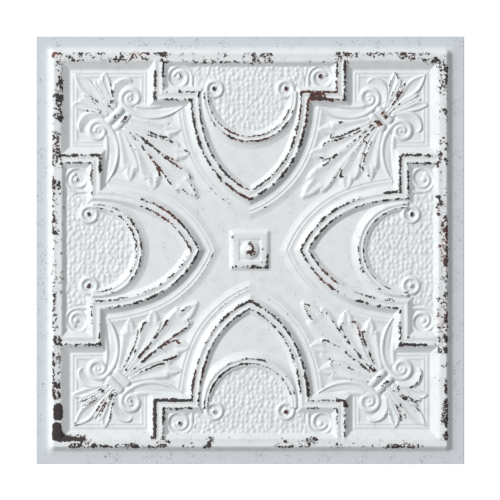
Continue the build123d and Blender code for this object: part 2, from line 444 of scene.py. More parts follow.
@dataclass(frozen=True)
class Moulding:
    """Raised moulding along a line, which may fade or narrow towards its ends."""

    line: Line
    section: Section
    level: float
    fade_in: float = 0.0
    fade_out: float = 0.0
    start_width: float = 1.0
    end_width: float = 1.0
    diagonal: bool = False
    start_taper: Span = (0.0, 0.4)
    end_taper: Span = (0.5, 1.0)
    before_end: float = -0.1
    sunk: float = 1.5

    def press(self, sheet: Pressing) -> None:
        """Stands the moulding on the ground near its line.

        Args:
            sheet: The sheet with what is pressed so far.
        """
        line = self.line.points()
        p, q = to_diagonal(sheet.u, sheet.v) if self.diagonal else (sheet.u, sheet.v)
        reach = max(abs(self.section.stations[0][0]), abs(self.section.stations[-1][0]))
        low, high = line.min(axis=0) - reach, line.max(axis=0) + reach
        near = (p > low[0]) & (p < high[0]) & (q > low[1]) & (q < high[1])
        if not near.any():
            return
        offset, along = nearest(line, p[near], q[near])
        length = np.hypot(*np.diff(line, axis=0).T).sum()
        share = along / length
        width = self.start_width + (1.0 - self.start_width) * ease(share, *self.start_taper)
        width = width + (self.end_width - 1.0) * ease(share, *self.end_taper)
        keep = np.ones(along.shape)
        if self.fade_in:
            keep *= ease(along, self.before_end, self.fade_in)
        if self.fade_out:
            keep *= ease(length - along, self.before_end, self.fade_out)
        form = self.level + self.section.at(offset / width) * keep - self.sunk * (1.0 - keep)
        sheet.stand(form, self.section.wear_at(offset / width), fillet=0.6, where=near)


@dataclass(frozen=True)
class Eye:
    """Small dome in the middle of a volute."""

    centre: Place
    radius: float
    level: float
    rise: float
    reach: float = 1.5
    worn: float = 0.9
    worn_top: Span = (1.0, 0.5)
    worn_beside: float = 0.05

    def press(self, sheet: Pressing) -> None:
        """Raises the dome.

        Args:
            sheet: The sheet with what is pressed so far.
        """
        away = np.hypot(sheet.u - self.centre[0], sheet.v - self.centre[1]) / self.radius
        near = away < self.reach
        form = self.level + self.rise * (1.0 - away[near] ** 2)
        wear = self.worn * ease(away[near], *self.worn_top) + self.worn_beside
        sheet.stand(form, wear, fillet=0.5, where=near)


@dataclass(frozen=True)
class Leaf:
    """Leaf of a spray with a raised rim and a hollow middle, drawn along and across the diagonal."""

    outline: Points
    level: float
    section: Section
    on_axis: bool = False
    margin: float = 4.0

    def press(self, sheet: Pressing) -> None:
        """Raises the leaf on the ground.

        Args:
            sheet: The sheet with what is pressed so far.
        """
        along, across = to_diagonal(sheet.u, sheet.v)
        edge = softened(self.outline, closed=not self.on_axis)
        low, high = edge.min(axis=0) - self.margin, edge.max(axis=0) + self.margin
        near = (along > low[0]) & (along < high[0]) & (across > low[1]) & (across < high[1])
        if not near.any():
            return
        border = edge if self.on_axis else np.vstack((edge, edge[:1]))
        away, _ = nearest(border, along[near], across[near])
        # Half a leaf is closed just past the diagonal
        area = np.vstack(((edge[0, 0], -1.0), edge, (edge[-1, 0], -1.0))) if self.on_axis else edge
        within = np.where(inside(area, along[near], across[near]), np.abs(away), -np.abs(away))
        form = self.level + self.section.at(within)
        sheet.stand(form, self.section.wear_at(within), fillet=0.5, where=near)


@dataclass(frozen=True)
class Collar:
    """Two rounded bars that tie the sprays together across the diagonal."""

    level: float
    middle: float = 262.0
    pitch: float = 14.0
    half_width: float = 6.6
    half_length: float = 16.5
    rise: float = 5.0
    roundness: float = 2.4
    reach: float = 1.3
    worn: float = 0.9
    worn_top: Span = (0.9, 0.3)
    worn_beside: float = 0.05

    def press(self, sheet: Pressing) -> None:
        """Raises both bars.

        Args:
            sheet: The sheet with what is pressed so far.
        """
        along, across = to_diagonal(sheet.u, sheet.v)
        side = np.abs(np.abs(along - self.middle) - self.pitch / 2.0)
        ends = np.maximum(across - self.half_length + self.half_width, 0.0)
        away = np.hypot(side, ends) / self.half_width
        near = away < self.reach
        away = away[near]
        form = self.level + self.rise * (1.0 - away**self.roundness)
        wear = self.worn * ease(away, *self.worn_top) + self.worn_beside
        sheet.stand(form, wear, fillet=0.8, where=near)


@dataclass(frozen=True)
class CentreBoss:
    """Square plate in the tile's middle with a raised rim, a dome and a knob."""

    level: float
    corner: float = 24.0
    reach: float = 33.0
    plate: Section = Section(
        (
            (0.0, 2.4), (14.0, 2.4), (15.6, 3.3), (17.0, 3.6), (22.8, 3.6), (24.6, 3.1), (29.0, 0.4),
            (31.0, -1.0),
        ),
        0.45,
        ((13.0, 0.2), (15.8, 0.5), (18.0, 0.5), (22.0, 0.8), (25.6, 1.0), (27.4, 0.05)),
    )
    dome: Section = Section(
        (
            (0.0, 7.7), (2.8, 7.6), (4.6, 6.4), (5.4, 6.1), (8.0, 5.8), (11.0, 4.6), (13.2, 3.0),
            (14.2, 2.0), (16.0, 0.0),
        ),
        0.5,
        ((0.0, 1.0), (4.4, 1.0), (7.0, 0.8), (12.0, 0.3), (14.0, 0.1)),
    )

    def press(self, sheet: Pressing) -> None:
        """Raises the plate and the dome on the field.

        Args:
            sheet: The sheet with what is pressed so far.
        """
        past_u, past_v = np.maximum(sheet.u - self.corner, 0.0), np.maximum(sheet.v - self.corner, 0.0)
        square = np.where(sheet.u > self.corner, self.corner + np.hypot(past_u, past_v), sheet.u)
        near = sheet.u < self.reach
        if not near.any():
            return
        square, away = square[near], np.hypot(sheet.u, sheet.v)[near]
        sheet.stand(self.level + self.plate.at(square), self.plate.wear_at(square), fillet=0.5, where=near)
        sheet.stand(self.level + self.dome.at(away), self.dome.wear_at(away), fillet=0.4, where=near)


@dataclass(frozen=True)
class PebbledGround:
    """Hammered ground of a lobe, inside the crescent and along the frame."""

    band: Band
    pitch: float = 6.8
    rise: float = 1.25
    spread: float = 2.9
    crescent_centre: float = 218.7
    crescent_inside: float = 54.0
    crescent_edge: float = 3.0
    frame_strip: Span = (219.0, 223.0)
    volute_side: Span = (77.5, 75.5)
    volute_round: Span = (19.0, 21.0)
    band_side: Span = (-11.0, -14.0)
    frame_side: Span = (262.0, 259.0)
    sunk: float = 0.35
    worn: float = 0.1
    seed: int = 11
    column_mix: float = 127.1
    row_mix: float = 311.7
    jog_source: tuple[float, float, float] = (1.0, 0.0, 43758.5453)
    jig_source: tuple[float, float, float] = (1.37, 2.1, 24634.6345)
    growth_source: tuple[float, float, float] = (0.77, 5.3, 9871.331)
    smallest: float = 0.6
    growth: float = 0.7
    inset: float = 0.15
    play: float = 0.7
    squash: float = 0.8
    skew: float = 0.48

    def share(self, sheet: Pressing) -> np.ndarray:
        """Finds where the ground is pebbled.

        Args:
            sheet: The sheet with what is pressed so far.

        Returns:
            Share of the bumps' height at each place, from 0 to 1.
        """
        away = np.hypot(sheet.u - self.crescent_centre, sheet.v)
        share = np.maximum(ease(away, self.crescent_inside + self.crescent_edge, self.crescent_inside),
                           ease(sheet.u, *self.frame_strip))
        beside = np.hypot(sheet.u - self.band.volute[0], sheet.v - self.band.volute[1])
        corner = (sheet.u > self.band.volute[0]) & (sheet.v < self.band.volute[1])
        round_volute = np.where(corner, ease(beside, *self.volute_round), 0.0)
        free = np.maximum(ease(sheet.v, *self.volute_side), round_volute)
        inside_band = ease(self.band.offset(sheet.u, sheet.v), *self.band_side)
        return share * (inside_band * ease(sheet.u, *self.frame_side) * free)

    def bumps(self, x: np.ndarray, y: np.ndarray) -> np.ndarray:
        """Scatters one leaning bump in each cell of a square grid.

        Args:
            x: Places on the tile, left to right.
            y: Places on the tile, bottom to top.

        Returns:
            Height of the highest bump at each place, before it is scaled.
        """
        column, row = np.floor(x / self.pitch), np.floor(y / self.pitch)
        highest = np.zeros(x.shape)
        for i in (-1, 0, 1):
            for j in (-1, 0, 1):
                a, b = column + i, row + j
                mix = a * self.column_mix + b * self.row_mix + self.seed
                jog, jig = scattered(mix, *self.jog_source), scattered(mix, *self.jig_source)
                grown = self.smallest + self.growth * scattered(mix, *self.growth_source)
                dx = x - (a + self.inset + self.play * jog) * self.pitch
                dy = y - (b + self.inset + self.play * jig) * self.pitch
                leaning = dy * self.squash + (jog - 0.5) * self.skew * dx
                highest = np.maximum(highest, grown * np.exp(-(dx**2 + leaning**2) / self.spread**2))
        return highest

    def press(self, sheet: Pressing) -> None:
        """Adds the bumps where the ground is pebbled.

        Args:
            sheet: The sheet with what is pressed so far.
        """
        share = self.share(sheet)
        near = share > 0.0
        if near.any():
            rise = self.bumps(sheet.x[near], sheet.y[near]) - self.sunk
            sheet.height[near] += share[near] * self.rise * rise
            sheet.wear[near] = self.worn


Form = Moulding | Eye | Leaf | Collar
RIM = Section(
    ((-8.0, -0.8), (-4.0, 0.5), (-0.4, 2.7), (0.8, 3.1), (2.4, 2.8), (6.0, 1.9), (10.0, 1.3), (16.0, 1.1)),
    0.45,
    ((-2.4, 0.02), (-0.2, 1.05), (1.0, 1.05), (3.2, 0.15), (16.0, 0.12)),
)
SPEAR_RIM = Section(
    ((-4.0, -3.0), (-1.4, 0.4), (0.2, 2.4), (1.0, 3.0), (2.2, 2.4), (5.0, 1.0), (8.0, 0.8)), 0.4,
    ((-1.6, 0.02), (0.2, 1.0), (0.9, 1.0), (2.6, 0.1)),
)


@dataclass(frozen=True)
class CornerOrnament:
    """Ornament on a corner panel: scrolls with horns, a collar and two sprays of leaves."""

    level: float
    scroll: Line = Line(
        (206.0, 91.0), 132.0,
        ((75.0, -39.0), (50.3, -53.0), (13.5, -40.0), (13.0, -90.0), (11.3, -90.0), (9.5, -90.0),
         (7.2, -90.0), (5.6, -90.0)),
    )
    horn: Line = Line((203.0, 160.0), -100.0, ((78.0, 45.0),))
    curl: Line = Line((279.0, 6.0), 43.0, ((20.0, 0.0), (20.0, 92.0), (7.5, 130.0)))
    scroll_bead: Section = Section(
        (
            (-16.0, -3.0), (-12.5, 0.9), (-8.0, 1.2), (-3.8, 1.4), (-1.2, 3.3), (0.0, 3.6), (1.4, 3.3),
            (4.6, 0.4), (7.0, -1.8),
        ),
        0.55,
        ((-3.0, 0.03), (0.0, 0.14), (3.0, 0.03)),
    )
    horn_bead: Section = Section(
        ((-7.0, -2.0), (-4.0, 0.4), (-1.0, 2.6), (0.0, 2.8), (1.0, 2.6), (4.5, 0.9), (7.0, -1.0)), 0.6,
        ((0.0, 0.05),),
    )
    curl_bead: Section = Section(
        ((-5.0, -3.0), (-2.6, 0.6), (-0.4, 3.3), (0.6, 3.5), (3.0, 2.6), (10.0, 0.5), (14.0, -1.0)), 0.6,
        ((-2.0, 0.03), (-1.0, 0.9), (1.6, 0.9), (3.0, 0.2), (6.0, 0.3), (8.0, 0.05)),
    )
    leaves: tuple[Points, ...] = (
        (
            (188.6, 52.5), (194.6, 49.5), (202.0, 45.0), (205.0, 40.0), (208.0, 44.5), (215.6, 38.5),
            (229.0, 28.0), (241.0, 20.0), (250.0, 14.0), (250.0, 8.0), (246.0, 7.0), (234.0, 11.0),
            (221.0, 16.0), (209.6, 20.5), (200.0, 25.0), (191.0, 32.0), (197.0, 34.5), (194.0, 39.0),
            (190.6, 45.5),
        ),
        (
            (156.6, 36.5), (161.6, 36.5), (168.6, 33.5), (173.5, 29.5), (176.0, 33.5), (183.0, 32.0),
            (190.0, 29.0), (198.0, 23.0), (208.0, 17.0), (219.0, 12.0), (230.0, 9.0), (242.0, 7.0),
            (248.0, 5.0), (240.0, 2.5), (219.0, 4.0), (206.0, 5.2), (191.0, 6.5), (180.0, 9.0),
            (169.0, 12.0), (162.0, 17.0), (165.5, 20.0), (160.6, 24.0), (157.0, 31.0),
        ),
    )
    eye_centre: Place = (213.0, 168.4)
    eye_radius: float = 4.2
    eye_rise: float = 3.2
    middle: Points = (
        (250.0, 3.0), (232.0, 3.2), (219.0, 4.0), (206.0, 5.2), (191.0, 6.8), (170.6, 9.0),
        (158.0, 11.5), (148.0, 13.5), (140.0, 14.5), (130.5, 13.5), (134.5, 8.0), (124.6, 7.2),
        (116.0, 5.0), (107.0, 0.0),
    )
    corner_middle: Points = (
        (272.0, 3.0), (290.0, 3.2), (300.0, 4.2), (308.0, 5.8), (318.0, 8.4), (326.0, 9.4), (334.0, 8.4),
        (342.0, 5.4), (351.0, 0.0),
    )
    corner_leaves: tuple[Points, ...] = (
        (
            (324.0, 13.0), (318.0, 8.0), (308.0, 6.0), (295.0, 3.5), (280.0, 1.5), (280.0, 4.0),
            (292.0, 6.5), (304.0, 9.6), (314.0, 12.8),
        ),
        (
            (322.0, 21.0), (317.0, 14.8), (306.0, 11.4), (294.0, 7.8), (278.0, 4.0), (278.0, 7.0),
            (290.0, 11.0), (302.0, 15.5), (312.0, 20.0),
        ),
        (
            (323.0, 33.5), (321.5, 25.0), (316.0, 19.0), (304.0, 15.0), (291.0, 10.5), (276.0, 6.0),
            (276.0, 10.0), (288.0, 15.0), (298.0, 22.0), (307.0, 28.0), (315.0, 31.5),
        ),
    )

    def forms(self) -> list[Form]:
        """Lists the ornament's forms.

        Returns:
            Forms in the order that they are pressed, lowest first.
        """
        level = self.level
        return [
            *(Leaf(outline, level, RIM) for outline in self.leaves),
            Leaf(self.middle, level, RIM, on_axis=True),
            *(Leaf(outline, level, SPEAR_RIM) for outline in self.corner_leaves),
            Leaf(self.corner_middle, level, SPEAR_RIM, on_axis=True),
            Moulding(self.curl, self.curl_bead, level, fade_in=8.0, fade_out=14.0, end_width=0.5,
                     diagonal=True),
            Moulding(self.horn, self.horn_bead, level, end_width=0.8),
            Moulding(self.scroll, self.scroll_bead, level, fade_in=8.0, start_width=0.45),
            Eye(self.eye_centre, self.eye_radius, level, self.eye_rise),
            Collar(level),
        ]


@dataclass(frozen=True)
class LobeOrnament:
    """Ornament in a lobe: a crescent that ends in small volutes, and a large volute in each sunk square."""

    levels: Levels
    large_eye: Place
    large_volute: Line = Line((222.0, 82.0), 0.0, ((21.0, 0.0), (17.0, 180.0), (13.6, 180.0), (9.6, 150.0)))
    small_volute: Line = Line((224.0, 61.4), -4.0, ((4.0, 0.0), (10.8, -310.0)))
    small_eye: Place = (228.2, 50.4)
    small_radius: float = 4.6
    large_radius: float = 4.8
    crescent: Line = Line((156.7, 0.0), 90.0, ((62.0, -96.0),))
    eye_rise: float = 3.0
    crescent_bead: Section = Section(
        (
            (-16.0, -3.0), (-10.0, 0.2), (-7.0, 2.4), (-5.2, 3.0), (-2.6, 4.6), (-1.2, 4.2), (0.6, 3.9),
            (3.0, 5.3), (4.2, 5.0), (8.0, 2.4), (13.0, 0.5), (18.0, -1.5),
        ),
        0.45,
        ((-6.4, 0.02), (-3.2, 1.0), (-1.0, 0.1), (1.0, 0.1), (3.2, 1.15), (4.2, 0.95), (7.0, 0.02)),
    )
    ring: Section = Section(
        ((-7.0, -3.0), (-3.8, 0.0), (-1.2, 2.6), (0.0, 3.0), (1.2, 2.6), (3.8, 0.0), (7.0, -3.0)),
        0.6,
        ((-2.5, 0.03), (-0.8, 0.3), (0.8, 0.3), (2.5, 0.03)),
    )

    def forms(self) -> list[Form]:
        """Lists the ornament's forms.

        Returns:
            Forms in the order that they are pressed.
        """
        lobe, recess = self.levels.lobe, self.levels.recess
        return [
            Moulding(self.crescent, self.crescent_bead, lobe, fade_out=3.0, end_width=0.72),
            Moulding(self.small_volute, self.ring, lobe),
            Eye(self.small_eye, self.small_radius, lobe, self.eye_rise),
            Moulding(self.large_volute, self.ring, recess, fade_in=5.0),
            Eye(self.large_eye, self.large_radius, recess, self.eye_rise),
        ]


@dataclass(frozen=True)
class Pattern:
    """The whole pressed pattern: gives the sheet's height and wear at any place."""

    levels: Levels = Levels()

    def pressed(self, x: np.ndarray, y: np.ndarray) -> Pressing:
        """Presses the pattern at the given places.

        Args:
            x: Places on the tile, left to right, millimetres.
            y: Places on the tile, bottom to top, millimetres.

        Returns:
            The places with their heights and wear.
        """
        sheet = Pressing(x, y)
        band = Band(self.levels)
        band.lay_ground(sheet)
        PebbledGround(band).press(sheet)
        PanelBeads(self.levels.panel).press(sheet)
        band.press(sheet)
        for form in LobeOrnament(self.levels, band.volute).forms():
            form.press(sheet)
        for form in CornerOrnament(self.levels.panel).forms():
            form.press(sheet)
        CentreBoss(self.levels.panel).press(sheet)
        Border().press(sheet)
        sheet.height = np.clip(sheet.height, self.levels.flange, self.levels.top)
        return sheet


# Finishes


class Slot(Enum):
    """Material slots of the record."""

    PAINTED_SHEET = "painted_sheet"


@dataclass(frozen=True)
class Grain:
    """Noise of one kind.

    Scale is cells in a metre, detail the layers of finer noise and rough their strength, and
    warp how far the noise is twisted.
    """

    scale: float
    detail: float
    rough: float = 0.55
    warp: float = 0.0


class Shading:
    """Shader nodes of one finish, with short ways to add to them."""

    def __init__(self, material: bpy.types.Material) -> None:
        """Starts from the material's own shader.

        Args:
            material: Material that uses nodes.
        """
        self.nodes = material.node_tree.nodes
        self.links = material.node_tree.links
        self.shader = self.nodes["Principled BSDF"]
        self.place = self.nodes.new("ShaderNodeTexCoord").outputs["Object"]

    def noise(self, grain: Grain) -> Socket:
        """Adds noise over the sheet.

        Args:
            grain: Kind of noise.

        Returns:
            The noise, from 0 to 1.
        """
        node = self.nodes.new("ShaderNodeTexNoise")
        node.inputs["Scale"].default_value = grain.scale
        node.inputs["Detail"].default_value = grain.detail
        node.inputs["Roughness"].default_value = grain.rough
        node.inputs["Distortion"].default_value = grain.warp
        self.links.new(self.place, node.inputs["Vector"])
        return node.outputs["Fac"]

    def combine(self, operation: str, *values: float | Socket) -> Socket:
        """Adds one sum, product or other operation.

        Args:
            operation: Blender's name of the operation.
            values: Sockets or numbers that go into it.

        Returns:
            The result.
        """
        node = self.nodes.new("ShaderNodeMath")
        node.operation = operation
        for index, value in enumerate(values):
            self.feed(node.inputs[index], value)
        return node.outputs[0]

    def scaled(self, value: Socket, factor: float, start: float | Socket) -> Socket:
        """Multiplies a value by a factor and adds a start to it."""
        return self.combine("MULTIPLY_ADD", value, factor, start)

    def feed(self, socket: Socket, value: float | Colour | Socket) -> None:
        """Links a value to a socket, or sets the number or colour on it.

        Args:
            socket: Where the value goes.
            value: Socket, number or colour.
        """
        if isinstance(value, Socket):
            self.links.new(value, socket)
        elif socket.type == "RGBA":
            socket.default_value = (*value, 1.0)
        else:
            socket.default_value = value

    def span(self, value: Socket, low: float, high: float) -> Socket:
        """Adds a smooth step.

        Args:
            value: What is measured.
            low: Where the step starts.
            high: Where the step ends.

        Returns:
            0 up to low and 1 from high on.
        """
        node = self.nodes.new("ShaderNodeMapRange")
        node.interpolation_type = "SMOOTHSTEP"
        self.links.new(value, node.inputs["Value"])
        node.inputs["From Min"].default_value = low
        node.inputs["From Max"].default_value = high
        return node.outputs["Result"]

    def blend(self, share: Socket, first: Colour | Socket, second: Colour | Socket) -> Socket:
        """Mixes two colours.

        Args:
            share: Share of the second colour.
            first: Colour at share 0.
            second: Colour at share 1.

        Returns:
            The mixed colour.
        """
        node = self.nodes.new("ShaderNodeMix")
        node.data_type = "RGBA"
        self.links.new(share, node.inputs["Factor"])
        for name, value in (("A", first), ("B", second)):
            self.feed(next(s for s in node.inputs if s.name == name and s.type == "RGBA"), value)
        return next(s for s in node.outputs if s.type == "RGBA")

    def attribute(self, name: str) -> Socket:
        """Adds a value that is kept with the sheet's points.

        Args:
            name: Name of the value.

        Returns:
            The value at each place.
        """
        node = self.nodes.new("ShaderNodeAttribute")
        node.attribute_name = name
        return node.outputs["Fac"]


@dataclass(frozen=True)
class WornPaint:
    """White paint on dark metal, chipped along the raised edges.

    A pair of numbers says from where in the noise something shows and where it is full.
    """

    name: str = "worn_white_paint"
    paint: Colour = (0.683, 0.708, 0.718)
    # The flat flange is coloured a darker, bluish grey than the paint on the field.
    flange: Colour = (0.55, 0.58, 0.622)
    metal: Colour = (0.036, 0.033, 0.033)
    rust: Colour = (0.15, 0.042, 0.032)
    stain: Colour = (0.42, 0.24, 0.19)
    grime: Colour = (0.20, 0.21, 0.24)
    roughness: float = 0.5
    shine: float = 0.35
    clouds: Grain = Grain(60.0, 4.0)
    clouded: Span = (0.3, 0.75)
    cloud_shade: float = 0.955
    cloud_roughness: float = 0.08
    flakes: Grain = Grain(255.0, 3.0, 0.6, 0.7)
    patches: Grain = Grain(90.0, 2.0, 0.5)
    wear_share: float = 0.45
    patch_share: float = 0.55
    stained: Span = (1.00, 1.07)
    stain_share: float = 0.22
    rusty_stain: float = 0.45
    chipped: Span = (1.07, 1.10)
    chip_roughness: float = 0.25
    specks: Grain = Grain(430.0, 3.0, 0.6)
    specked: Span = (0.55, 0.64)
    speck_groups: Grain = Grain(60.0, 3.0)
    grouped: Span = (0.42, 0.66)
    speck_share: float = 0.34
    flange_specks: float = 0.50
    spots: Grain = Grain(240.0, 3.0)
    spotted: Span = (0.42, 0.60)
    red_share: float = 0.10
    rusty_red: float = 0.75
    tooth: Grain = Grain(420.0, 3.0)
    tooth_depth: float = 0.25
    chip_depth: float = -0.8
    bump_strength: float = 0.5
    bump_depth: float = 0.0003

    def material(self) -> bpy.types.Material:
        """Builds the finish as shader nodes.

        Returns:
            The finished material.
        """
        made = bpy.data.materials.new(self.name)
        made.use_nodes = True
        add = Shading(made)
        torn = add.scaled(add.noise(self.patches), self.patch_share, add.noise(self.flakes))
        torn = add.scaled(add.attribute("wear"), self.wear_share, torn)
        chip = add.span(torn, *self.chipped)
        cloud = add.span(add.noise(self.clouds), *self.clouded)
        paint = self.painted(add, cloud, add.span(torn, *self.stained))
        inputs = add.shader.inputs
        add.feed(inputs["Base Color"], add.blend(chip, paint, self.bare(add)))
        rough = add.scaled(chip, self.chip_roughness, self.roughness)
        add.feed(inputs["Roughness"], add.scaled(cloud, self.cloud_roughness, rough))
        add.feed(inputs["Specular IOR Level"], self.shine)
        add.feed(inputs["Normal"], self.grained(add, chip))
        return made

    def painted(self, add: Shading, cloud: Socket, rim: Socket) -> Socket:
        """Colours the paint, with specks all over and stains round the chips.

        Args:
            add: Nodes of the finish.
            cloud: Where the paint is a shade darker.
            rim: Where a chip's edge is near.

        Returns:
            Colour of the paint.
        """
        flange = add.attribute("flange")
        shaded = tuple(self.cloud_shade * part for part in self.paint)
        # Where the flange attribute is set, the paint turns to the darker, bluish flange grey.
        colour = add.blend(flange, add.blend(cloud, self.paint, shaded), self.flange)
        specks = add.span(add.noise(self.specks), *self.specked)
        specks = add.combine("MULTIPLY", specks, add.span(add.noise(self.speck_groups), *self.grouped))
        specks = add.combine("MULTIPLY", specks, add.scaled(flange, self.flange_specks, self.speck_share))
        colour = add.blend(specks, colour, self.grime)
        rusty = add.scaled(add.attribute("rust"), self.rusty_stain, self.stain_share)
        stain = add.combine("MULTIPLY", rim, rusty)
        return add.blend(stain, colour, self.stain)

    def bare(self, add: Shading) -> Socket:
        """Colours the metal in the chips.

        Args:
            add: Nodes of the finish.

        Returns:
            Colour of the metal, red where it rusts.
        """
        spots = add.span(add.noise(self.spots), *self.spotted)
        rusty = add.scaled(add.attribute("rust"), self.rusty_red, self.red_share)
        red = add.combine("MULTIPLY", spots, rusty)
        return add.blend(red, self.metal, self.rust)

    def grained(self, add: Shading, chip: Socket) -> Socket:
        """Gives the paint a fine grain and a thickness at the chips.

        Args:
            add: Nodes of the finish.
            chip: Where the paint is gone.

        Returns:
            Direction of the surface.
        """
        bump = add.nodes.new("ShaderNodeBump")
        bump.inputs["Strength"].default_value = self.bump_strength
        bump.inputs["Distance"].default_value = self.bump_depth
        hollow = add.combine("MULTIPLY", chip, self.chip_depth)
        add.links.new(add.scaled(add.noise(self.tooth), self.tooth_depth, hollow), bump.inputs["Height"])
        return bump.outputs["Normal"]


# The sheet


Row = tuple[float, float, float, float, float]


@dataclass(frozen=True)
class Photo:
    """Where the photograph's pixels lie on the tile.

    middle_x and middle_y are the pixels of the tile's middle, and pixel is one in millimetres.
    """

    middle_x: float = 250.6
    middle_y: float = 250.5
    pixel: float = 1.411

    def place(self, right: float, down: float) -> Place:
        """Millimetres from the tile's middle for a place in pixels."""
        return (right - self.middle_x) * self.pixel, (self.middle_y - down) * self.pixel


@dataclass(frozen=True)
class Stretches:
    """Worn stretches along one kind of line, with how far beside it the wear reaches.

    A row is where a stretch starts and ends in the photograph, in pixels from the left and from
    the top, and then how worn it is. Most places were read off the photograph. The others were
    joined from such places, or moved to suit the render.
    """

    reach: float
    rows: tuple[Row, ...]


